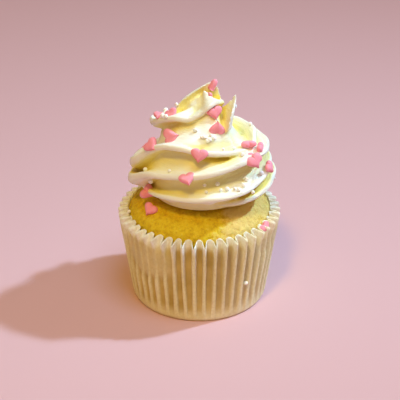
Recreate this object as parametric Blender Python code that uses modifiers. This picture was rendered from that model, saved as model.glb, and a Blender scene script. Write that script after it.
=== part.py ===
"""A cupcake in a pleated paper case, topped with a piped swirl of icing.

Metres, +Z up. The origin is the middle of the flat base, which stands on z = 0.
"""
import math

import bmesh
import bpy

MM = 0.001

# Paper case: a round base whose wall is folded into pleats that deepen to the rim
PLEATS = 46
PAPER_THICKNESS = 0.3 * MM
BASE_RADIUS = 24.6 * MM
FOOT_HEIGHT = 1.2 * MM
FOOT_RADIUS = 25.3 * MM
RIDGE_RIM_RADIUS = 30.25 * MM
RIDGE_RIM_HEIGHT = 34.0 * MM
FOLD_RIM_RADIUS = 26.7 * MM
FOLD_RIM_HEIGHT = 35.2 * MM
RIDGE_HALF_WIDTH = 0.19
FOLD_HALF_WIDTH = 0.23
WALL_LEVELS = 4

# Sponge: fills the case and rises over its rim in a dome
GAP = 0.3 * MM
SPONGE_STEPS = 52
SPONGE_WALL_HEIGHT = 33.6 * MM
SPONGE_DOME = ((25.5, 35.9), (24.2, 37.8), (22.2, 39.7), (19.4, 41.5), (15.5, 42.9), (8.0, 43.9))
SPONGE_TOP = 44.2 * MM

# Icing: one rope piped in a rising spiral, two of its ridges showing to a turn
ICING_AXIS = 0.9 * MM
ICING_COLUMNS = 64
ICING_ROWS = 38
ICING_START = 43.8 * MM
ICING_TIP = 83.8 * MM
ICING_ENVELOPE = (
    (43.0, 19.2), (46.0, 24.2), (49.0, 26.8), (54.0, 26.6), (59.0, 25.0),
    (64.0, 22.0), (69.0, 17.6), (74.0, 12.8), (79.0, 7.4), (82.0, 3.8), (84.0, 0.8),
)
TURN_RISE = 19.6 * MM
RIDGES_PER_TURN = 2
RIDGE_PHASE = 0.25
RIDGE_DEPTH = 4.6 * MM
RIDGE_SHARPNESS = 1.3
RIDGE_DROOP = 1.3 * MM
TIP_SHIFT = 1.8 * MM
UNDERSIDE = ((19.0, 42.5), (16.0, 43.5), (8.0, 44.5))
UNDERSIDE_MIDDLE = 44.8 * MM

# The pointed flap left where the rope was pulled away beside the tip
FLAP_ANGLE = -0.35
FLAP_SPREAD = 0.42
FLAP_REACH = 6.0 * MM
FLAP_FROM = 71.0 * MM
FLAP_TOP = 79.5 * MM

COLOURS = {
    "paper_case": (0.62, 0.46, 0.25, 1.0),
    "sponge": (0.74, 0.45, 0.06, 1.0),
    "icing": (0.88, 0.78, 0.55, 1.0),
}
ROUGHNESS = {"paper_case": 0.6, "sponge": 0.9, "icing": 0.45}


def clear_scene():
    """Start from an empty file."""
    for item in list(bpy.data.objects):
        bpy.data.objects.remove(item, do_unlink=True)


def between(low, high, share):
    """The value a share of the way from low to high."""
    return low + (high - low) * share


def smooth_step(low, high, value):
    """Ease from 0 at low to 1 at high."""
    share = min(max((value - low) / (high - low), 0.0), 1.0)
    return share * share * (3.0 - 2.0 * share)


def read_curve(points, value):
    """Read a curve given as (position, value) pairs in millimetres."""
    place = value / MM
    if place <= points[0][0]:
        return points[0][1] * MM
    for (x0, y0), (x1, y1) in zip(points, points[1:]):
        if place <= x1:
            return between(y0, y1, (place - x0) / (x1 - x0)) * MM
    return points[-1][1] * MM


def material_for(name):
    """A plain material of the part's own."""
    material = bpy.data.materials.new(name)
    material.use_nodes = True
    shader = material.node_tree.nodes["Principled BSDF"]
    shader.inputs["Base Color"].default_value = COLOURS[name]
    shader.inputs["Roughness"].default_value = ROUGHNESS[name]
    return material


def add_object(name, mesh, collection):
    """Put a mesh in the collection as a named object with its material."""
    item = bpy.data.objects.new(name, mesh)
    item.data.materials.append(material_for(name))
    collection.objects.link(item)
    return item


def loft(name, rings, start=None, end=None):
    """Skin a list of rings; each end closes on a point, a flat face, or stays open."""
    mesh = bpy.data.meshes.new(name)
    build = bmesh.new()
    loops = [[build.verts.new(point) for point in ring] for ring in rings]
    count = len(rings[0])
    for lower, upper in zip(loops, loops[1:]):
        for i in range(count):
            j = (i + 1) % count
            build.faces.new((lower[i], lower[j], upper[j], upper[i]))
    for loop, closing, turned in ((loops[0], start, True), (loops[-1], end, False)):
        if closing == "flat":
            build.faces.new(loop[::-1] if turned else loop)
        elif closing is not None:
            middle = build.verts.new(closing)
            for i in range(count):
                pair = (loop[i], loop[(i + 1) % count])
                build.faces.new((middle,) + (pair[::-1] if turned else pair))
    build.to_mesh(mesh)
    build.free()
    return mesh


def pleat_ring(share):
    """One level of the pleated wall, share 0 at the foot and 1 at the rim."""
    ridge_radius = between(FOOT_RADIUS, RIDGE_RIM_RADIUS, share)
    fold_radius = between(FOOT_RADIUS - PAPER_THICKNESS, FOLD_RIM_RADIUS, share)
    ridge_height = between(FOOT_HEIGHT, RIDGE_RIM_HEIGHT, share)
    fold_height = between(FOOT_HEIGHT, FOLD_RIM_HEIGHT, share)
    corners = (
        (-RIDGE_HALF_WIDTH, ridge_radius, ridge_height),
        (RIDGE_HALF_WIDTH, ridge_radius, ridge_height),
        (0.5 - FOLD_HALF_WIDTH, fold_radius, fold_height),
        (0.5 + FOLD_HALF_WIDTH, fold_radius, fold_height),
    )
    ring = []
    for pleat in range(PLEATS):
        for place, radius, height in corners:
            angle = 2.0 * math.pi * (pleat + place) / PLEATS
            ring.append((radius * math.cos(angle), radius * math.sin(angle), height))
    return ring


def base_ring():
    """The edge of the flat base, with a point under each corner of the pleats."""
    ring = []
    for x, y, _ in pleat_ring(0.0):
        angle = math.atan2(y, x)
        ring.append((BASE_RADIUS * math.cos(angle), BASE_RADIUS * math.sin(angle), 0.0))
    return ring


def paper_case(collection):
    """The pleated case: a folded sheet given its paper thickness inwards."""
    rings = [base_ring()]
    rings += [pleat_ring(level / (WALL_LEVELS - 1)) for level in range(WALL_LEVELS)]
    case = add_object("paper_case", loft("paper_case", rings, start="flat"), collection)
    sheet = case.modifiers.new("Sheet", "SOLIDIFY")
    sheet.thickness = PAPER_THICKNESS
    sheet.offset = -1.0
    sheet.use_even_offset = True
    return case


def sponge(collection):
    """The sponge: a profile turned about the axis, clear of the paper all round."""
    clearance = PAPER_THICKNESS + GAP
    bottom_radius = BASE_RADIUS - 2.0 * clearance
    wall_share = (SPONGE_WALL_HEIGHT - FOOT_HEIGHT) / (FOLD_RIM_HEIGHT - FOOT_HEIGHT)
    wall_radius = between(FOOT_RADIUS - PAPER_THICKNESS, FOLD_RIM_RADIUS, wall_share) - clearance
    profile = [(0.0, SPONGE_TOP)]
    profile += [(radius * MM, height * MM) for radius, height in SPONGE_DOME[::-1]]
    profile.append((wall_radius, SPONGE_WALL_HEIGHT))
    profile.append((FOOT_RADIUS - PAPER_THICKNESS - clearance, FOOT_HEIGHT + clearance))
    profile.append((bottom_radius, clearance))
    profile.append((0.0, clearance))
    mesh = bpy.data.meshes.new("sponge")
    points = [(radius, 0.0, height) for radius, height in profile]
    edges = [(i, i + 1) for i in range(len(points) - 1)]
    mesh.from_pydata(points, edges, [])
    cake = add_object("sponge", mesh, collection)
    turn = cake.modifiers.new("Turn", "SCREW")
    turn.steps = SPONGE_STEPS
    turn.render_steps = SPONGE_STEPS
    turn.use_merge_vertices = True
    turn.merge_threshold = 0.00001
    turn.use_smooth_shade = True
    return cake


def ridge_shape(angle, height):
    """1 on a crest of the spiral and 0 midway between two crests."""
    turns = (height - ICING_START) / TURN_RISE - angle / (2.0 * math.pi)
    wave = 0.5 + 0.5 * math.cos(2.0 * math.pi * (turns * RIDGES_PER_TURN - RIDGE_PHASE))
    return wave ** RIDGE_SHARPNESS


def flap_reach(angle, height):
    """How far the flap stands out of the swirl at this place."""
    away = math.remainder(angle - FLAP_ANGLE, 2.0 * math.pi) / FLAP_SPREAD
    rise = smooth_step(FLAP_FROM, FLAP_TOP, height)
    end = 1.0 - smooth_step(FLAP_TOP, FLAP_TOP + 1.2 * MM, height)
    return FLAP_REACH * math.exp(-away * away) * rise * end


def icing_point(angle, height):
    """A point on the outside of the swirl."""
    envelope = read_curve(ICING_ENVELOPE, height)
    edge = smooth_step(ICING_START, ICING_START + 4.0 * MM, height)
    crest = ridge_shape(angle, height)
    depth = min(RIDGE_DEPTH, 0.4 * envelope) * edge
    radius = envelope - depth * (1.0 - crest) + flap_reach(angle, height)
    droop = RIDGE_DROOP * crest * edge * smooth_step(ICING_TIP, ICING_TIP - 8.0 * MM, height)
    lean = ICING_AXIS + TIP_SHIFT * smooth_step(70.0 * MM, ICING_TIP, height)
    return (lean + radius * math.cos(angle), radius * math.sin(angle), height - droop)


def icing(collection):
    """The swirl: rings of spiral ridges from the sponge up to the tip."""
    angles = [2.0 * math.pi * column / ICING_COLUMNS for column in range(ICING_COLUMNS)]
    rings = []
    for radius, height in UNDERSIDE[::-1]:
        rings.append([
            (ICING_AXIS + radius * MM * math.cos(angle), radius * MM * math.sin(angle), height * MM)
            for angle in angles
        ])
    for row in range(ICING_ROWS):
        height = between(ICING_START, ICING_TIP, row / (ICING_ROWS - 1))
        rings.append([icing_point(angle, height) for angle in angles])
    middle = (ICING_AXIS, 0.0, UNDERSIDE_MIDDLE)
    tip = (ICING_AXIS + TIP_SHIFT, 0.0, ICING_TIP + 0.4 * MM)
    mesh = loft("icing", rings, start=middle, end=tip)
    mesh.shade_smooth()
    return add_object("icing", mesh, collection)


def main():
    """Build the cupcake."""
    clear_scene()
    collection = bpy.data.collections.new("cupcake")
    bpy.context.scene.collection.children.link(collection)
    paper_case(collection)
    sponge(collection)
    icing(collection)


main()
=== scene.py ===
import math
import random

import bmesh
import bpy
import numpy as np
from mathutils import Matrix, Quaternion, Vector
from mathutils.bvhtree import BVHTree


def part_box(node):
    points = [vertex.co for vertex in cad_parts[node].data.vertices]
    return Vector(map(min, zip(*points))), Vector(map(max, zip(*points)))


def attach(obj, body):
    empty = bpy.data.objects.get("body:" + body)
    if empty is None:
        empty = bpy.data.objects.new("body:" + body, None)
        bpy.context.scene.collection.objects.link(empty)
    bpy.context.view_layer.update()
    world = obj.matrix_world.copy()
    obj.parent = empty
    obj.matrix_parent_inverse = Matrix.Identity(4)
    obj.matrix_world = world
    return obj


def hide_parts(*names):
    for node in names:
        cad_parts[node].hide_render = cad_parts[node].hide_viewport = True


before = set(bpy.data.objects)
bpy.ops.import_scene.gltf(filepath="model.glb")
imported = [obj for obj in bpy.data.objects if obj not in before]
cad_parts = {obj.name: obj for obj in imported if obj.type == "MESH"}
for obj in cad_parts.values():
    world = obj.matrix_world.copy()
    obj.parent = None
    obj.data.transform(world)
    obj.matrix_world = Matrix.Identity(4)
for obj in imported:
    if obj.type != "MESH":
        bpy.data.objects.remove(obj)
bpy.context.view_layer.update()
mm = 0.001
rimRadius, _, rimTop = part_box("paper_case")[1]
print("frame loaded, rim at", round(rimTop, 4))


# A Wire is one socket, and maths on it adds Math nodes
class Wire:
    def __init__(self, tree, socket):
        self.tree = tree
        self.socket = socket

    def maths(self, operation, *others):
        values = dict(enumerate((self,) + others))
        return self.tree.node("ShaderNodeMath", {"operation": operation}, values)

    def reflected(self, operation, other):
        return self.tree.node("ShaderNodeMath", {"operation": operation}, {0: other, 1: self})

    def __add__(self, other):
        return self.maths("ADD", other)

    def __sub__(self, other):
        return self.maths("SUBTRACT", other)

    def __mul__(self, other):
        return self.maths("MULTIPLY", other)

    def __truediv__(self, other):
        return self.maths("DIVIDE", other)

    def __pow__(self, other):
        return self.maths("POWER", other)

    def __rsub__(self, other):
        return self.reflected("SUBTRACT", other)

    def __rtruediv__(self, other):
        return self.reflected("DIVIDE", other)

    __radd__ = __add__
    __rmul__ = __mul__

    def out(self, name):
        return Wire(self.tree, self.socket.node.outputs[name])


class Tree:
    def __init__(self, nodeTree):
        self.nodes = nodeTree.nodes
        self.links = nodeTree.links

    def node(self, kind, settings=None, sockets=None, output=0):
        item = self.nodes.new(kind)
        for name, value in (settings or {}).items():
            if name == "stops":
                self.fillRamp(item.color_ramp, value)
            else:
                setattr(item, name, value)
        for name, value in (sockets or {}).items():
            self.feed(item.inputs[name], value)
        return Wire(self, item.outputs[output]) if item.outputs else item

    def feed(self, socket, value):
        if isinstance(value, Wire):
            self.links.new(value.socket, socket)
        else:
            socket.default_value = value

    def fillRamp(self, ramp, stops):
        while len(ramp.elements) < len(stops):
            ramp.elements.new(0.5)
        for element, (place, colour) in zip(ramp.elements, stops):
            element.position = place
            element.color = colour

    def vector(self, x, y, z):
        return self.node("ShaderNodeCombineXYZ", None, {0: x, 1: y, 2: z})

    def split(self, vector):
        parts = self.node("ShaderNodeSeparateXYZ", None, {0: vector})
        return parts, parts.out("Y"), parts.out("Z")

    def noise(self, vector, scale, detail=2.0, roughness=0.5):
        sockets = {"Vector": vector, "Scale": scale, "Detail": detail, "Roughness": roughness}
        return self.node("ShaderNodeTexNoise", None, sockets)

    def step(self, value, low, high, toLow=0.0, toHigh=1.0):
        sockets = {0: value, 1: low, 2: high, 3: toLow, 4: toHigh}
        return self.node("ShaderNodeMapRange", {"interpolation_type": "SMOOTHSTEP"}, sockets)


class Material(Tree):
    def __init__(self, name):
        self.data = bpy.data.materials.new(name)
        self.data.use_nodes = True
        super().__init__(self.data.node_tree)
        self.shader = self.nodes["Principled BSDF"]
        self.place = self.node("ShaderNodeTexCoord").out("Object")

    def set(self, **sockets):
        for name, value in sockets.items():
            self.feed(self.shader.inputs[name.replace("_", " ")], value)

    def mix(self, share, first, second):
        return self.node("ShaderNodeMix", {"data_type": "RGBA"}, {0: share, 6: first, 7: second}, 2)

    def ramp(self, share, stops):
        return self.node("ShaderNodeValToRGB", {"stops": stops}, {"Fac": share})

    def attribute(self, name):
        return self.node("ShaderNodeAttribute", {"attribute_name": name}).out("Fac")

    def bump(self, height, strength, distance):
        sockets = {"Height": height, "Strength": strength, "Distance": distance}
        self.feed(self.shader.inputs["Normal"], self.node("ShaderNodeBump", None, sockets))


# A geometry tree. The capitalised names in a piece's dictionary are its sizes, and each becomes a named input
class Shaper(Tree):
    def __init__(self, name, choices):
        self.group = bpy.data.node_groups.new(name, "GeometryNodeTree")
        super().__init__(self.group)
        self.sizes = {size: value for size, value in choices.items() if size[0].isupper()}
        self.group.interface.new_socket("Geometry", in_out="OUTPUT", socket_type="NodeSocketGeometry")
        self.addInput("Geometry", "NodeSocketGeometry")
        for size, value in self.sizes.items():
            self.addInput(size, "NodeSocketInt" if isinstance(value, int) else "NodeSocketFloat")
        self.source = self.node("NodeGroupInput")

    def addInput(self, name, kind):
        self.group.interface.new_socket(name, in_out="INPUT", socket_type=kind)

    def size(self, name):
        return self.source.out(name)

    def finish(self, geometry, material):
        real = self.node("GeometryNodeRealizeInstances", None, {0: geometry})
        paint = {"Geometry": real, "Material": material.data}
        self.node("NodeGroupOutput", None, {0: self.node("GeometryNodeSetMaterial", None, paint)})

    def apply(self, name, points=None):
        piece = addObject(name, points or bpy.data.meshes.new(name))
        modifier = piece.modifiers.new("Shape", "NODES")
        modifier.node_group = self.group
        for socket in self.group.interface.items_tree:
            if socket.in_out == "INPUT" and socket.name in self.sizes:
                modifier[socket.identifier] = self.sizes[socket.name]
        settle(piece)
        return piece


def addObject(name, data):
    item = bpy.data.objects.new(name, data)
    bpy.context.scene.collection.objects.link(item)
    return item


def settle(piece):
    # make what the modifiers give the piece's own mesh
    view = bpy.context.evaluated_depsgraph_get()
    view.update()
    mesh = bpy.data.meshes.new_from_object(piece.evaluated_get(view))
    piece.modifiers.clear()
    piece.data = mesh
    mesh.name = piece.name


def finishPiece(piece, node):
    for polygon in piece.data.polygons:
        polygon.use_smooth = True
    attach(piece, "root")
    if node:
        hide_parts(node)
    print(piece.name, "made,", len(piece.data.polygons), "faces")
    return piece


def mend(mesh, repair):
    build = bmesh.new()
    build.from_mesh(mesh)
    repair(build)
    bmesh.ops.recalc_face_normals(build, faces=build.faces)
    build.to_mesh(mesh)
    build.free()
    mesh.update()


def closeSeams(mesh, reach):
    mend(mesh, lambda build: bmesh.ops.remove_doubles(build, verts=build.verts, dist=reach))


paperCase = {
    "Pleats": 46,
    "Columns": 20,               # points across one pleat
    "Levels": 44,
    "Foot Radius": 24.9 * mm,
    "Ridge Radius": rimRadius - 0.1 * mm,
    "Fold Radius": 26.5 * mm,
    "Ridge Height": rimTop - 1.6 * mm,
    "Fold Rise": 2.0 * mm,
    "Corner": 0.7 * mm,
    "Unevenness": 0.35 * mm,
    "thickness": 0.22 * mm,
    # where the folds are pressed flat: turn in radians, reach, level, spread, how far
    "pressed": ((3.88, 0.50, 0.72, 0.26, 0.88), (5.74, 0.17, 0.84, 0.14, 0.60)),
    "valleyColours": ((0.36, 0.22, 0.01, 1), (0.80, 0.62, 0.20, 1)),
    "ridgeColours": ((0.86, 0.79, 0.38, 1), (0.95, 0.92, 0.60, 1)),
    "dryColour": (0.98, 0.98, 0.86, 1),
    # painted highlight: the light caught along the shoulders of the ridges
    "creaseColour": (1.0, 1.0, 0.95, 1),
    # painted light: the paper is paler towards the lit right side
    "rightColour": (0.98, 0.94, 0.72, 1),
    "speckleColour": (0.56, 0.42, 0.10, 1),
}


def paperMaterial():
    paint = Material("greaseproofPaper")
    fold = paint.attribute("fold")
    height = paint.attribute("height")
    fibres = paint.noise(paint.place, 900.0, 4.0, 0.65)
    stains = paint.noise(paint.place, 150.0, 3.0)
    valley = paint.mix(stains, *paperCase["valleyColours"])
    ridge = paint.mix(stains, *paperCase["ridgeColours"])
    greased = paint.step(height, 0.04, 0.20) * paint.step(height + (stains - 0.5) * 0.22, 1.02, 0.86)
    paper = paint.mix((1.0 - fold) * greased, ridge, valley)
    dry = paint.step(height + (stains - 0.5) * 0.10, 0.87, 0.97)
    paper = paint.mix(dry * 0.9, paper, paperCase["dryColour"])
    # painted highlight along the ridge shoulders, on the upper wall only
    crease = paint.attribute("crease") * paint.step(height, 0.35, 0.9)
    paper = paint.mix(crease, paper, paperCase["creaseColour"])
    x, y, _ = paint.split(paint.place)
    # painted light: the paper is paler towards the lit right side
    right = paint.step(x - 0.5 * y, 14.0 * mm, 32.0 * mm)
    paper = paint.mix(right * 0.4, paper, paperCase["rightColour"])
    speckle = paint.step(fibres, 0.35, 0.7)
    paper = paint.mix(speckle * 0.26, paper, paperCase["speckleColour"])
    paint.set(Base_Color=paper, Roughness=0.45 + 0.2 * fibres)
    paint.bump(fibres + 0.8 * stains, 0.6, 0.2 * mm)
    return paint


def makePaperCase():
    tree = Shaper("pleatedCase", paperCase)
    pleats = tree.size("Pleats")
    across = pleats * tree.size("Columns")
    grid = tree.node("GeometryNodeMeshGrid", None, {
        "Size X": 1.0, "Size Y": 1.0, "Vertices X": across + 1.0, "Vertices Y": tree.size("Levels"),
    })
    x, y, _ = tree.split(tree.node("GeometryNodeInputPosition"))
    turn = (x + 0.5) * math.tau
    rise = y + 0.5
    cosine = turn.maths("COSINE")
    sine = turn.maths("SINE")
    drift = tree.noise(tree.vector(cosine * 2.2, sine * 2.2, rise * 0.5), 2.0) - 0.5
    phase = (turn * pleats / math.tau + drift * 0.5).maths("FRACT")
    away = (phase - 0.5).maths("ABSOLUTE") * 2.0        # 0 in the middle of a fold, 1 on a ridge
    lump = tree.noise(tree.vector(cosine * 7.0, sine * 7.0, rise * 1.5), 2.0) - 0.5
    fold = tree.step(away + lump * 0.15, 0.38 + 0.10 * rise, 0.70 + 0.18 * rise)
    crisp = 1.0
    for *place, strength in paperCase["pressed"]:
        crisp = crisp - patch(tree, turn, rise, *place) * strength
    foot = tree.size("Foot Radius")
    deepest = foot + (tree.size("Fold Radius") - foot) * rise
    widest = foot + (tree.size("Ridge Radius") - foot) * rise
    bulge = (fold - 0.6) * crisp + 0.6
    radius = deepest + (widest - deepest) * bulge * (0.97 + 0.06 * lump)
    radius = radius + lump * tree.size("Unevenness") * rise
    radius = radius - tree.step(rise, 0.035, 0.0) * tree.size("Corner")
    rim = tree.step(rise, 0.80, 1.0) * (1.0 - away * away) * tree.size("Fold Rise") * crisp
    tall = rise * tree.size("Ridge Height") + rim + lump * rise * 0.6 * mm
    # the painted highlight is stronger on the side of each ridge that faces the light
    sunny = 0.3 + 0.7 * tree.step(phase, 0.55, 0.45)
    crease = tree.step(fold, 0.35, 0.65) * tree.step(fold, 1.0, 0.90) * crisp * crisp * sunny
    for name, value in (("fold", bulge), ("crease", crease), ("height", rise)):
        grid = tree.node("GeometryNodeStoreNamedAttribute", {"data_type": "FLOAT"}, {
            "Geometry": grid, "Name": name, "Value": value,
        })
    wall = tree.node("GeometryNodeSetPosition", None, {
        "Geometry": grid, "Position": tree.vector(radius * cosine, radius * sine, tall),
    })
    tree.finish(wall, paperMaterial())
    piece = tree.apply("paperCase")
    closeSeams(piece.data, 0.01 * mm)
    mend(piece.data, closeBase)
    sheet = piece.modifiers.new("Thickness", "SOLIDIFY")
    sheet.thickness = paperCase["thickness"]
    sheet.offset = -1.0
    return finishPiece(piece, "paper_case")


def patch(tree, turn, rise, middle, reach, level, spread):
    # 1 inside a soft oval on the wall, 0 outside it
    away = ((turn - middle) / reach) ** 2.0 + ((rise - level) / spread) ** 2.0
    return tree.step(away, 1.4, 0.4)


def closeBase(build):
    lowest = [edge for edge in build.edges if edge.is_boundary and max(v.co.z for v in edge.verts) < mm]
    bmesh.ops.contextual_create(build, geom=lowest)


sponge = {
    "Around": 560,
    "Rows": 120,
    "Radius": 26.1 * mm,
    "Foot Radius": 24.3 * mm,
    "Foot Height": 0.6 * mm,
    "Shoulder": 34.0 * mm,
    "Dome": 9.9 * mm,
    "Crumb": 0.55 * mm,
    "floorShare": 0.10,          # the share of the rows that the floor takes, and where the wall ends
    "wallShare": 0.24,
    "domeFullness": 2.6,
    "domeEase": 0.625,
    "crumbColours": (
        (0.28, (0.56, 0.31, 0.002, 1)), (0.5, (0.82, 0.57, 0.004, 1)), (0.75, (0.90, 0.73, 0.04, 1)),
    ),
    # partly real paler patches of crumb, partly painted light towards the lit right side
    "paleColour": (0.86, 0.66, 0.24, 1),
    # painted shade in the pores of the crumb
    "poreColour": (0.44, 0.22, 0.01, 1),
}


def spongeMaterial():
    paint = Material("goldenCrumb")
    crumb = paint.noise(paint.place, 520.0, 6.0, 0.75)
    broad = paint.noise(paint.place, 60.0, 2.0)
    pores = paint.node("ShaderNodeTexVoronoi", None, {"Vector": paint.place, "Scale": 520.0})
    x, y, _ = paint.split(paint.place)
    cake = paint.ramp(crumb, sponge["crumbColours"])
    # painted light: the crumb is paler towards the lit right side, on top of random paler patches
    right = paint.step(x - 0.4 * y, 8.0 * mm, 22.0 * mm)
    paleAndLit = paint.step(right * 0.36 + broad + (crumb - 0.5) * 0.6, 0.62, 0.86)
    cake = paint.mix(paleAndLit * 0.8, cake, sponge["paleColour"])
    # painted shade: the pores of the crumb are darkened
    poreShade = paint.step(pores, 0.30, 0.05)
    cake = paint.mix(poreShade * 0.25, cake, sponge["poreColour"])
    paint.set(Base_Color=cake, Roughness=0.85, Subsurface_Weight=0.12, Subsurface_Scale=1.5 * mm)
    paint.bump(crumb + 0.3 * pores, 1.0, 0.7 * mm)
    return paint


def makeSponge():
    tree = Shaper("domedSponge", sponge)
    grid = tree.node("GeometryNodeMeshGrid", None, {
        "Size X": 1.0, "Size Y": 1.0, "Vertices X": tree.size("Around"), "Vertices Y": tree.size("Rows"),
    })
    x, y, _ = tree.split(tree.node("GeometryNodeInputPosition"))
    turn = (x + 0.5) * math.tau
    along = y + 0.5
    floorShare = sponge["floorShare"]
    wallShare = sponge["wallShare"]
    floor = (along / floorShare).maths("MINIMUM", 1.0)
    wall = ((along - floorShare) / (wallShare - floorShare)).maths("MAXIMUM", 0.0).maths("MINIMUM", 1.0)
    inward = ((along - wallShare) / (1.0 - wallShare)).maths("MAXIMUM", 0.0)
    share = 1.0 - inward ** 1.25                       # 1 at the shoulder, 0 at the middle of the top
    dome = (1.0 - share ** sponge["domeFullness"]).maths("MAXIMUM", 0.0) ** sponge["domeEase"]
    foot = tree.size("Foot Radius")
    reach = (foot + (tree.size("Radius") - foot) * wall) * floor * share
    base = tree.size("Foot Height")
    height = base + (tree.size("Shoulder") - base) * wall + tree.size("Dome") * dome
    place = tree.vector(reach * turn.maths("COSINE"), reach * turn.maths("SINE"), height)
    shape = tree.node("GeometryNodeSetPosition", None, {"Geometry": grid, "Position": place})
    shape = tree.node("GeometryNodeMergeByDistance", None, {"Geometry": shape, "Distance": 0.02 * mm})
    here = tree.node("GeometryNodeInputPosition")
    broad = tree.noise(here, 90.0, 2.0) - 0.5
    fine = tree.noise(here, 520.0, 3.0, 0.6) - 0.5
    holes = tree.node("ShaderNodeTexVoronoi", None, {"Vector": here, "Scale": 330.0})
    pit = tree.step(holes, 0.0, 0.35, -0.9, 0.0)
    push = (broad * 1.6 + fine * 1.5 + pit * 0.6) * tree.size("Crumb")
    _, _, level = tree.split(here)
    push = push * tree.step(level, tree.size("Shoulder") - 3.0 * mm, tree.size("Shoulder"))
    outward = tree.node("ShaderNodeVectorMath", {"operation": "SCALE"}, {
        0: tree.node("GeometryNodeInputNormal"), "Scale": push,
    })
    shape = tree.node("GeometryNodeSetPosition", None, {"Geometry": shape, "Offset": outward})
    tree.finish(shape, spongeMaterial())
    piece = tree.apply("spongeCake")
    closeSeams(piece.data, 0.02 * mm)
    return finishPiece(piece, "sponge")


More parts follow.
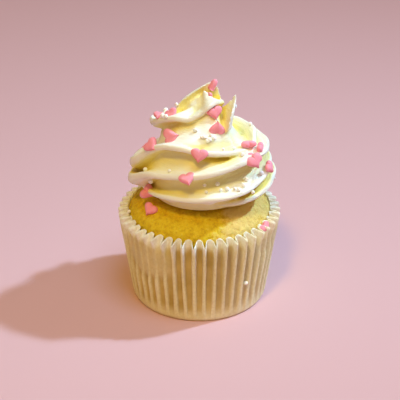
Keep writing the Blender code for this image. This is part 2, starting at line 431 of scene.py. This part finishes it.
swirl = {
    "axis": 0.9,                 # sizes in millimetres, turns in degrees from +X
    # where the outer edge of the rope runs: turn, radius, height
    "edge": (
        (-84, 17.5, 45.6), (-66, 20.8, 45.8), (-45, 24.4, 46.8), (-25, 26.4, 48.2), (0, 27.2, 49.2),
        (60, 26.8, 48.0), (120, 25.5, 46.8), (180, 22.6, 46.0), (215, 22.3, 46.9), (240, 23.6, 48.9),
        (270, 24.8, 50.2), (300, 25.6, 51.0), (335, 25.2, 52.5), (360, 25.4, 54.2), (420, 26.0, 53.0),
        (480, 26.6, 50.5), (540, 26.8, 48.8), (555, 26.8, 51.0), (572, 25.2, 55.0), (590, 24.0, 56.8),
        (630, 23.2, 59.0), (675, 23.8, 62.0), (700, 24.6, 61.8), (720, 24.9, 60.8), (780, 24.2, 58.6),
        (840, 23.4, 54.8), (870, 24.2, 53.6), (900, 25.8, 54.6), (918, 25.6, 59.0), (930, 22.5, 64.0),
        (945, 20.6, 66.4), (964, 19.8, 67.2), (990, 19.6, 66.2), (1015, 19.8, 65.2), (1035, 19.6, 63.8),
        (1060, 20.3, 63.3), (1080, 20.2, 64.4), (1120, 19.0, 64.6), (1180, 18.0, 66.0), (1260, 18.4, 70.0),
        (1285, 16.0, 73.6), (1305, 13.6, 75.0), (1325, 11.2, 74.8), (1345, 9.8, 76.6), (1365, 9.2, 78.6),
        (1385, 8.8, 79.8), (1410, 8.4, 79.0), (1440, 8.0, 77.0), (1500, 7.0, 74.0),
    ),
    # the shelf on top of the edge: turn, width, rise
    "shelf": (
        (-84, 3.0, 0.0), (-45, 3.5, 0.3), (180, 3.5, 0.3), (240, 4.0, 0.4), (280, 5.5, 1.4), (310, 8.0, 3.2),
        (340, 7.0, 2.2), (380, 4.5, 0.3), (420, 4.0, 0.2), (520, 6.0, 0.0), (560, 5.0, 0.0), (600, 3.4, 0.3),
        (640, 3.4, 0.3), (690, 4.0, 0.4), (760, 4.0, 0.2), (860, 6.5, 0.0), (915, 6.5, 0.0), (945, 4.0, 0.2),
        (975, 3.4, 0.6), (995, 5.0, 2.4), (1012, 6.0, 3.8), (1028, 6.6, 5.0), (1038, 6.4, 4.0),
        (1048, 6.0, -3.5), (1075, 6.5, -6.5), (1115, 6.5, -6.0), (1150, 4.5, -1.5), (1240, 3.6, 0.3),
        (1300, 2.9, 0.3), (1500, 2.9, 0.3),
    ),
    # how deep a groove runs along the middle of the shelf: turn, depth
    "groove": ((-84, 0), (965, 0), (985, 2.0), (1028, 4.0), (1040, 2.0), (1048, 0), (1500, 0)),
    # how thick the edge is: turn, thickness
    "lip": (
        (-84, 0.6), (-45, 1.4), (180, 1.4), (215, 1.0), (330, 1.2), (480, 2.5), (530, 4.5), (560, 3.5),
        (585, 1.5), (800, 1.6), (860, 3.0), (900, 4.2), (925, 2.5), (945, 1.4), (1200, 1.6), (1260, 2.4),
        (1290, 1.4), (1500, 1.0),
    ),
    # how far the face below an edge is set back: turn, depth
    "hollow": ((-84, 4.2), (1290, 4.2), (1335, 1.6), (1500, 1.2)),
    "drop": 0.9,                 # and how far below that edge it starts
    "step": 2.0,                 # degrees from one section of the rope to the next
    "bead": 1.7,                 # width of the bead along the edge, its height, and its height at the shelf
    "beadHeight": 1.05,
    "beadFoot": 0.7,
    "backDent": 0.7,             # how far the wall behind the shelf curves in
    "rootDepth": 13.0,           # how far the rope reaches in and down inside the swirl
    "rootDrop": 4.0,
    "bellyEnds": (330, 360),     # the first turn's underside is rounded, and that fades between these turns
    "bellyInset": 5.0,
    "bellyDrop": 2.4,
    "uneven": 0.22,
    "unevenRise": 0.8,           # the share of the unevenness that goes into the height
    # waves along the edge and along the sagging underside: strength, how many in a turn, start
    "sway": ((1.0, 5.3, 0), (0.7, 11.9, 40)),
    "sags": ((1.0, 9, 150), (0.6, 17, 0)),
    "drips": 0.8,                # how far the lowest edge sags in places
    "endRadius": 3.5,            # where the rope ends at the top, and degrees over which it closes there
    "endHeight": 74.0,
    "endTurn": 15,
    "voxel": 0.38,
    "shelterReach": 7.0,         # how far the rays reach that find the sheltered hollows
    "shelterLift": 0.15,
    "shelterFade": 0.6,          # how much less a far surface shelters than a near one
    "shelterRays": ((15, 60), (45, 60), (75, 90)),       # rise of a ring of rays, and the turn between two
    "leafLevels": 60,            # rings of points in each leaf, and points across it
    "leafColumns": 12,
    "coreColumns": 96,
    # two hollowed leaves at the top: height, one edge x y, the other edge x y, hollow, depth behind
    "leaves": (
        ((66.0, -9.0, -3.0, 9.0, -3.0, 0.5, 9.0), (74.0, -8.8, -2.0, 8.6, -0.5, 0.3, 7.5),
         (76.5, -7.8, -1.4, 8.2, 0.0, 0.8, 6.5), (79.0, -5.4, -1.2, 7.8, 0.2, 1.2, 5.6),
         (81.0, -2.4, -0.6, 7.3, 0.4, 1.2, 4.4), (82.8, 0.6, 0.2, 6.7, 0.6, 0.8, 2.8),
         (84.2, 3.2, 1.0, 5.8, 1.0, 0.4, 1.2)),
        ((67.0, 2.0, 0.0, 6.0, -6.0, 0.6, 4.5), (70.5, 3.0, 0.0, 9.8, -11.2, 0.8, 4.2),
         (74.0, 5.5, -0.5, 10.7, -10.6, 1.0, 3.4), (76.8, 8.6, -2.2, 11.2, -9.2, 1.0, 2.6),
         (79.0, 10.8, -2.6, 12.0, -6.4, 0.7, 1.6), (81.4, 12.6, -2.6, 13.1, -3.2, 0.1, 0.5)),
    ),
    # the solid inside the swirl: radius, height
    "core": (
        (1, 44.6), (18, 42.8), (19, 47), (18.5, 54), (16.0, 60), (12.5, 65), (10, 69), (8, 72), (6.5, 75),
        (4.5, 77.5), (2.2, 79.2), (0.5, 80),
    ),
    # cream colour with painted shade: near white where the icing is open, deeper yellow and gold the more
    # enclosed it is
    "creamAndHollowShadeColours": (
        (0.04, (0.94, 0.95, 0.84, 1)), (0.20, (0.95, 0.92, 0.56, 1)), (0.42, (0.93, 0.84, 0.25, 1)),
        (0.75, (0.70, 0.54, 0.06, 1)),
    ),
}


def smoothCurve(places, keys, values):
    # a smooth curve through the keys, easing at each one
    span = np.diff(keys)
    slope = np.diff(values) / span
    tangent = np.empty(len(values))
    tangent[1:-1] = (slope[:-1] * span[1:] + slope[1:] * span[:-1]) / (span[1:] + span[:-1])
    tangent[0] = slope[0]
    tangent[-1] = slope[-1]
    places = np.clip(places, keys[0], keys[-1])
    i = np.clip(np.searchsorted(keys, places, side="right") - 1, 0, len(span) - 1)
    t = (places - keys[i]) / span[i]
    rise = (3 - 2 * t) * t * t
    start = t * (1 - t) ** 2 * span[i] * tangent[i]
    end = t * t * (t - 1) * span[i] * tangent[i + 1]
    return values[i] + (values[i + 1] - values[i]) * rise + start + end


def columns(rows):
    return np.array(rows, float).T


def rounded(rings, times):
    # cut the corners of closed rings
    for _ in range(times):
        after = np.roll(rings, -1, axis=1)
        pair = np.stack([0.75 * rings + 0.25 * after, 0.25 * rings + 0.75 * after], 2)
        rings = pair.reshape(len(rings), -1, rings.shape[2])
    return rings


def skin(rings):
    # faces of a tube through the rings, its ends closed
    count = rings.shape[1]
    faces = []
    for row in range(len(rings) - 1):
        for i in range(count):
            j = (i + 1) % count
            a = row * count
            b = a + count
            faces.append((a + i, a + j, b + j, b + i))
    last = (len(rings) - 1) * count
    faces.append(tuple(range(count))[::-1])
    faces.append(tuple(range(last, last + count)))
    return rings.reshape(-1, 3) * mm, faces


def spongeHeight(radius):
    share = np.clip(radius / (sponge["Radius"] / mm), 0, 1)
    dome = (1 - share ** sponge["domeFullness"]) ** sponge["domeEase"]
    return (sponge["Shoulder"] + sponge["Dome"] * dome) / mm


def ripple(turn, waves):
    return sum(strength * np.sin(np.radians(turn * count + start)) for strength, count, start in waves)


def along(name, turns):
    # a measure of the rope that changes from turn to turn
    return np.interp(turns, *columns(swirl[name]))


def ropeRings():
    turn, radius, height = columns(swirl["edge"])
    t = np.arange(turn[0], turn[-1], swirl["step"])
    above = t + 360
    sway = ripple(t, swirl["sway"])
    r = smoothCurve(t, turn, radius) + swirl["uneven"] * sway
    z = smoothCurve(t, turn, height) + swirl["uneven"] * swirl["unevenRise"] * sway

    # the edge of the turn above, which closes into the rope's end
    drop = swirl["drop"]
    ending = np.clip((above + swirl["endTurn"] - turn[-1]) / swirl["endTurn"], 0, 1)
    rAbove = smoothCurve(above, turn, radius) * (1 - ending) + swirl["endRadius"] * ending
    zAbove = smoothCurve(above, turn, height) * (1 - ending) + (swirl["endHeight"] + drop) * ending

    shelfTurn, shelfWidth, shelfRise = columns(swirl["shelf"])
    shelf = np.minimum(np.interp(t, shelfTurn, shelfWidth), 0.5 * r)
    lip = along("lip", t)
    lipAbove = along("lip", above)
    hollow = along("hollow", t)
    hollowAbove = along("hollow", above) * (1 - ending)
    groove = along("groove", t)
    belly = np.interp(t, swirl["bellyEnds"], (1, 0))
    sag = swirl["drips"] * np.clip(ripple(t, swirl["sags"]), 0, 2)
    underIn = hollow * (1 - belly) + swirl["bellyInset"] * belly
    underDown = drop * (1 - belly) + (swirl["bellyDrop"] + sag) * belly

    bead = swirl["bead"]
    beadFoot = z + swirl["beadFoot"]
    inner = r - np.maximum(shelf, bead + 0.6)
    ledge = beadFoot + np.interp(t, shelfTurn, shelfRise)
    back = np.minimum(rAbove - hollowAbove, inner + 0.5)
    top = np.maximum(zAbove - lipAbove - drop, np.maximum(ledge, z) + 0.8)
    dent = swirl["backDent"]
    section = (
        # the lip and the bead on it
        (r - 1.0, z - lip),
        (r, z - 0.6 * lip),
        (r - 0.15, z + 0.3),
        (r - 0.45 * bead, z + swirl["beadHeight"]),
        (r - bead, beadFoot),
        # the shelf with its groove, and the wall behind it up to the next turn
        (0.4 * (r - bead) + 0.6 * inner, 0.5 * (beadFoot + ledge) - groove),
        (inner, ledge),
        (0.7 * inner + 0.3 * back - dent, 0.72 * ledge + 0.28 * top),
        (0.3 * inner + 0.7 * back - dent, 0.35 * ledge + 0.65 * top),
        (back, top),
        # the root inside the swirl, and the underside
        (np.maximum(back - 5, 0.5), top + 1),
        (np.maximum(r - swirl["rootDepth"], 0.5), z - swirl["rootDrop"]),
        (r - underIn - 2 - 2 * belly, z - lip - underDown - 1 - belly),
        (r - underIn, z - lip - underDown),
    )
    rings = rounded(np.stack([np.stack(point, 1) for point in section], 1), 1)
    radii = rings[:, :, 0]
    heights = np.maximum(rings[:, :, 1], spongeHeight(radii) + 0.1)
    angle = np.radians(t)[:, None]
    return np.stack([radii * np.cos(angle) + swirl["axis"], radii * np.sin(angle), heights], 2)


def leafRings(rows):
    keys = columns(rows)
    height = np.linspace(keys[0][0], keys[0][-1], swirl["leafLevels"])
    leftX, leftY, rightX, rightY, hollow, depth = (smoothCurve(height, keys[0], row) for row in keys[1:])
    left = np.stack([leftX, leftY], 1)
    across = np.stack([rightX, rightY], 1) - left
    behind = np.stack([-across[:, 1], across[:, 0]], 1)
    behind /= np.linalg.norm(behind, axis=1)[:, None]
    share = np.linspace(0, 1, swirl["leafColumns"])
    arch = 4 * share * (1 - share)
    rings = []
    for level in range(len(height)):
        line = left[level] + across[level] * share[:, None]
        front = line + behind[level] * (hollow[level] * arch)[:, None]
        back = line + behind[level] * (depth[level] * arch ** 0.6)[:, None]
        flat = np.concatenate([front, back[-2:0:-1]])
        rings.append(np.column_stack([flat, np.full(len(flat), height[level])]))
    return np.stack(rings)


def coreRings():
    angle = np.linspace(0, math.tau, swirl["coreColumns"], endpoint=False)
    rings = [
        np.stack([r * np.cos(angle) + swirl["axis"], r * np.sin(angle), np.full_like(angle, z)], 1)
        for r, z in swirl["core"]
    ]
    return np.stack(rings)


def icingMaterial():
    paint = Material("whippedIcing")
    x, y, z = paint.split(paint.place)
    aside = x - swirl["axis"] * mm
    around = y.maths("ARCTAN2", aside)
    reach = (aside ** 2.0 + y ** 2.0).maths("SQRT")
    flow = paint.vector(reach * 900.0, z * 900.0, around * 2.5)
    streaks = paint.noise(flow, 1.0, 3.0, 0.6)
    soft = paint.noise(paint.place, 160.0, 3.0)
    # painted shade: the cream turns deeper yellow and gold where the icing is enclosed
    hollowShade = paint.attribute("shelter")
    cream = paint.ramp(hollowShade + (soft - 0.5) * 0.08, swirl["creamAndHollowShadeColours"])
    paint.set(
        Base_Color=cream, Roughness=0.42 + 0.15 * soft,
        Subsurface_Weight=0.06, Subsurface_Scale=1.2 * mm, Subsurface_Radius=(1.0, 0.62, 0.28),
    )
    lined = 0.6 + 1.6 * paint.step(x, 4.0 * mm, 18.0 * mm)
    paint.bump(streaks * lined + 0.3 * soft, 0.65, 0.6 * mm)
    return paint


def shelter(mesh, around):
    # how enclosed each point is: the share of rays into the open that meet something near. The icing's colour
    # uses it as painted shade in the hollows
    rays = [direction(turn, rise) for rise, gap in swirl["shelterRays"] for turn in range(0, 360, gap)]
    reach = swirl["shelterReach"] * mm
    values = []
    for vertex in mesh.vertices:
        frameTurn = vertex.normal.to_track_quat("Z", "Y")
        start = vertex.co + vertex.normal * swirl["shelterLift"] * mm
        met = 0.0
        for ray in rays:
            distance = around.ray_cast(start, frameTurn @ ray, reach)[3]
            if distance is not None:
                met += 1.0 - swirl["shelterFade"] * distance / reach
        values.append(met / len(rays))
    mesh.attributes.new("shelter", "FLOAT", "POINT").data.foreach_set("value", values)


def makeSwirl(cake):
    shapes = [ropeRings(), coreRings()] + [leafRings(rows) for rows in swirl["leaves"]]
    points = []
    faces = []
    for rings in shapes:
        shapePoints, shapeFaces = skin(rings)
        start = len(points)
        faces += [tuple(start + i for i in face) for face in shapeFaces]
        points += [tuple(point) for point in shapePoints]
    mesh = bpy.data.meshes.new("icingSwirl")
    mesh.from_pydata(points, [], faces)
    closeSeams(mesh, 0.001 * mm)
    piece = addObject("icingSwirl", mesh)
    fuse = piece.modifiers.new("Fuse", "REMESH")
    fuse.mode = "VOXEL"
    fuse.voxel_size = swirl["voxel"] * mm
    ease = piece.modifiers.new("Ease", "SMOOTH")
    ease.factor = 0.5
    ease.iterations = 1
    settle(piece)
    shelter(piece.data, surfaceOf((piece, cake)))
    piece.data.materials.clear()
    piece.data.materials.append(icingMaterial().data)
    return finishPiece(piece, "icing")


hearts = {
    "Width": 5.9 * mm,
    "Thickness": 2.4 * mm,
    "Around": 48,
    "Rings": 14,
    "lift": 0.9 * mm,            # how far a heart's middle stands off the icing
    "pinks": ((0.98, 0.26, 0.36, 1), (1.0, 0.44, 0.54, 1)),
    # turn, radius and height of the spot, then where the heart faces (turn, rise) and its spin and size
    "spots": (
        (8, 5.4, 82.6, 190, 32, 60, 0.88), (340, 4.8, 80.2, 200, 10, 20, 0.7),
        (308, 11.0, 77.0, 278, 28, 10, 0.98), (302, 12.4, 72.8, 285, 5, 172, 1.0),
        (226, 14.6, 69.4, 246, 24, 115, 1.12), (212, 19.5, 65.0, 236, 32, 62, 1.0),
        (270, 20.0, 65.4, 268, 22, -8, 1.05), (260, 23.6, 55.8, 264, 56, 20, 1.0),
        (332, 19.0, 66.0, 95, 70, 20, 1.0), (336, 22.8, 63.0, 350, 5, 0, 0.9),
        (325, 23.4, 60.4, 285, 62, -25, 1.0), (322, 25.4, 59.6, 300, 24, 20, 1.1),
        (344, 25.6, 55.5, 345, 22, 10, 0.9), (203, 10.4, 75.0, 235, 25, 40, 0.85),
        (195, 15.0, 73.4, 250, 78, 0, 0.7), (205, 22.6, 44.2, 300, 8, 40, 1.0),
        (215, 22.0, 40.8, 245, 42, -20, 0.95), (329, 27.2, 33.4, 300, 30, 30, 0.78),
        (60, 26.0, 52.0, 62, 35, 15, 1.0), (96, 23.5, 60.0, 95, 25, 160, 1.0),
        (112, 20.0, 64.0, 112, 45, 70, 1.05), (80, 19.5, 62.0, 76, 20, -30, 0.95),
        (112, 26.5, 49.0, 110, 40, 100, 1.0), (138, 25.5, 49.0, 138, 30, 10, 1.0),
        (62, 24.5, 58.0, 58, 45, -60, 1.0), (104, 11.0, 75.0, 100, 25, 40, 0.95),
        (30, 25.0, 55.0, 28, 30, 140, 1.0),
    ),
}
pearls = {
    "Size": 1.45 * mm,
    "Detail": 3,
    "lift": 0.45,                # share of its size that a pearl's middle stands off the icing
    "whites": ((1.0, 1.0, 0.94, 1), (1.0, 1.0, 1.0, 1)),
    # turn, radius and height of the spot
    "spots": (
        (350, 14.2, 76.5), (262, 12.0, 72.4), (264, 12.4, 72.9), (277, 13.6, 69.6), (280, 14.2, 69.9),
        (284, 14.4, 69.0), (287, 13.8, 70.2), (291, 14.6, 69.4), (274, 13.0, 68.6), (281, 14.6, 68.7),
        (331, 18.0, 65.0), (298, 17.8, 66.0), (215, 21.2, 51.8), (210, 21.6, 53.2), (276, 19.2, 53.7),
        (289, 19.4, 53.6), (277, 21.5, 51.4), (290, 21.8, 51.8), (296, 22.4, 52.2), (311, 23.8, 52.4),
        (303, 22.8, 50.6), (335, 24.6, 54.4), (198, 9.6, 77.6), (193, 26.4, 35.6), (311, 26.4, 14.0),
        (240, 20.0, 57.0),
    ),
    "loose": 34,                 # how many more lie scattered on the icing, and where
    "looseHeights": (48, 76),
    "looseTurns": (-60, 215),
    "coneRadius": 26,            # the icing is about a cone, with this radius at its foot's height
    "coneFoot": 50,
    "coneTaper": 0.45,
    "seed": 11,
    "sizeRange": (0.75, 1.2),
}


def direction(turn, rise=0.0):
    level = math.cos(math.radians(rise))
    angle = math.radians(turn)
    return Vector((math.cos(angle) * level, math.sin(angle) * level, math.sin(math.radians(rise))))


def surfaceOf(pieces):
    points = []
    faces = []
    view = bpy.context.evaluated_depsgraph_get()
    for piece in pieces:
        mesh = piece.evaluated_get(view).data
        start = len(points)
        points += [vertex.co.copy() for vertex in mesh.vertices]
        faces += [tuple(start + i for i in polygon.vertices) for polygon in mesh.polygons]
    return BVHTree.FromPolygons(points, faces)


def landing(surface, turn, radius, height):
    start = direction(turn) * radius * mm
    start.z = height * mm
    spot, normal, _, _ = surface.find_nearest(start)
    return spot, normal


def spotMesh(name, rows):
    # one point for each place, facing and size
    mesh = bpy.data.meshes.new(name)
    mesh.from_pydata([place for place, _, _ in rows], [], [])
    facing = [angle for _, turned, _ in rows for angle in turned]
    mesh.attributes.new("facing", "FLOAT_VECTOR", "POINT").data.foreach_set("vector", facing)
    mesh.attributes.new("size", "FLOAT", "POINT").data.foreach_set("value", [size for _, _, size in rows])
    return mesh


def scatter(tree, shape, material):
    facing = tree.node("GeometryNodeInputNamedAttribute", {"data_type": "FLOAT_VECTOR"}, {"Name": "facing"})
    size = tree.node("GeometryNodeInputNamedAttribute", {"data_type": "FLOAT"}, {"Name": "size"})
    turned = tree.node("FunctionNodeEulerToRotation", None, {0: facing})
    placed = tree.node("GeometryNodeInstanceOnPoints", None, {
        "Points": tree.size("Geometry"), "Instance": shape, "Rotation": turned, "Scale": size,
    })
    tree.finish(placed, material)


def sugarMaterial(name, colours, shine):
    paint = Material(name)
    grain = paint.noise(paint.place, 700.0, 3.0, 0.6)
    paint.set(
        Base_Color=paint.mix(grain, *colours), Roughness=0.7 - shine + 0.2 * grain, Coat_Weight=shine,
        Subsurface_Weight=0.1, Subsurface_Scale=0.5 * mm,
    )
    paint.bump(grain, 0.3, 0.12 * mm)
    return paint


def makeHearts(surface):
    tree = Shaper("sugarHeart", hearts)
    ball = tree.node("GeometryNodeMeshUVSphere", None, {
        "Segments": tree.size("Around"), "Rings": tree.size("Rings"), "Radius": 1.0,
    })
    x, y, z = tree.split(tree.node("GeometryNodeInputPosition"))
    # the heart curve, which is 32 wide before it is scaled
    turn = x.maths("ARCTAN2", y)
    grow = ((x * x + y * y).maths("SQRT") ** 0.45) * tree.size("Width") / 32.0
    wide = 16.0 * turn.maths("SINE") ** 3.0
    cosines = [(turn * step).maths("COSINE") for step in (1.0, 2.0, 3.0, 4.0)]
    tall = 13.0 * cosines[0] - 4.0 * cosines[1] - 1.5 * cosines[2] - 0.5 * cosines[3] + 2.0
    place = tree.vector(wide * grow, tall * grow, z * tree.size("Thickness") * 0.5)
    heart = tree.node("GeometryNodeSetPosition", None, {"Geometry": ball, "Position": place})
    scatter(tree, heart, sugarMaterial("pinkSugar", hearts["pinks"], 0.1))
    rows = []
    for turn, radius, height, faceTurn, faceRise, spin, size in hearts["spots"]:
        spot, _ = landing(surface, turn, radius, height)
        facing = direction(faceTurn, faceRise)
        turned = facing.to_track_quat("Z", "Y") @ Quaternion((0, 0, 1), math.radians(spin))
        rows.append((spot + facing * hearts["lift"], turned.to_euler(), size))
    piece = tree.apply("pinkHearts", spotMesh("heartSpots", rows))
    return finishPiece(piece, None)


def makePearls(surface):
    tree = Shaper("sugarPearl", pearls)
    ball = tree.node("GeometryNodeMeshIcoSphere", None, {
        "Radius": tree.size("Size") * 0.5, "Subdivisions": tree.size("Detail"),
    })
    scatter(tree, ball, sugarMaterial("pearlSugar", pearls["whites"], 0.05))
    draw = random.Random(pearls["seed"])
    spots = list(pearls["spots"])
    for _ in range(pearls["loose"]):
        height = draw.uniform(*pearls["looseHeights"])
        radius = pearls["coneRadius"] - pearls["coneTaper"] * (height - pearls["coneFoot"])
        spots.append((draw.uniform(*pearls["looseTurns"]), radius, height))
    rows = []
    for turn, radius, height in spots:
        spot, normal = landing(surface, turn, radius, height)
        place = spot + normal * pearls["lift"] * pearls["Size"]
        rows.append((place, (0.0, 0.0, 0.0), draw.uniform(*pearls["sizeRange"])))
    piece = tree.apply("sugarPearls", spotMesh("pearlSpots", rows))
    return finishPiece(piece, None)


studio = {
    "floorSize": 6.0,
    "floorColour": (0.69, 0.43, 0.465, 1),
    "elevation": 28.5,           # degrees the camera looks down
    "distance": 0.55,
    "lens": 133.9,               # with the sensor's width, both in millimetres
    "sensor": 36.0,
    "nearest": 0.01,
    "aim": (0.0003, 0.0, 0.0374),
    "keyFrom": (0.93, 0.22, 1.15),
    "keyPower": 0.77,
    "keySize": 0.08,
    "keySpread": 38.0,           # degrees
    "keyColour": (0.50, 0.77, 1.0),
    "fillFrom": (-0.17, -0.58, 1.0),
    "fillPower": 1.95,
    "fillSize": 0.14,
    "fillSpread": 120.0,
    "fillColour": (1.0, 0.72, 0.10),
    "topFrom": (0.18, -0.30, 1.15),
    "topPower": 5.4,
    "topSize": 0.5,
    "topSpread": 180.0,
    "topColour": (0.55, 0.73, 1.0),
    "surround": (1.0, 0.68, 0.46, 1),
    "surroundStrength": 0.29,
}


def aimAt(item, target):
    away = Vector(target) - item.location
    item.rotation_euler = away.to_track_quat("-Z", "Y").to_euler()


def addLight(name):
    light = bpy.data.lights.new(name + "Light", "AREA")
    light.size = studio[name + "Size"]
    light.energy = studio[name + "Power"]
    light.spread = math.radians(studio[name + "Spread"])
    light.color = studio[name + "Colour"]
    item = addObject(name + "Light", light)
    item.location = studio[name + "From"]
    aimAt(item, studio["aim"])


def makeStudio():
    bpy.ops.mesh.primitive_plane_add(size=studio["floorSize"])
    floor = bpy.context.object
    floor.name = "studioFloor"
    paint = Material("paleFloor")
    paint.set(Base_Color=studio["floorColour"], Roughness=0.9)
    floor.data.materials.append(paint.data)
    for name in ("key", "fill", "top"):
        addLight(name)
    world = bpy.data.worlds.new("softRoom")
    world.use_nodes = True
    background = world.node_tree.nodes["Background"]
    background.inputs["Color"].default_value = studio["surround"]
    background.inputs["Strength"].default_value = studio["surroundStrength"]
    bpy.context.scene.world = world
    bpy.context.scene.view_settings.view_transform = "Standard"
    lens = bpy.data.cameras.new("camera")
    lens.lens = studio["lens"]
    lens.sensor_width = studio["sensor"]
    lens.clip_start = studio["nearest"]
    camera = addObject("camera", lens)
    tilt = math.radians(studio["elevation"])
    back = Vector((0.0, -math.cos(tilt), math.sin(tilt))) * studio["distance"]
    camera.location = Vector(studio["aim"]) + back
    aimAt(camera, studio["aim"])
    bpy.context.scene.camera = camera
    print("studio ready")


makeStudio()
case = makePaperCase()
cake = makeSponge()
icing = makeSwirl(cake)
surface = surfaceOf((case, cake, icing))
makeHearts(surface)
makePearls(surface)
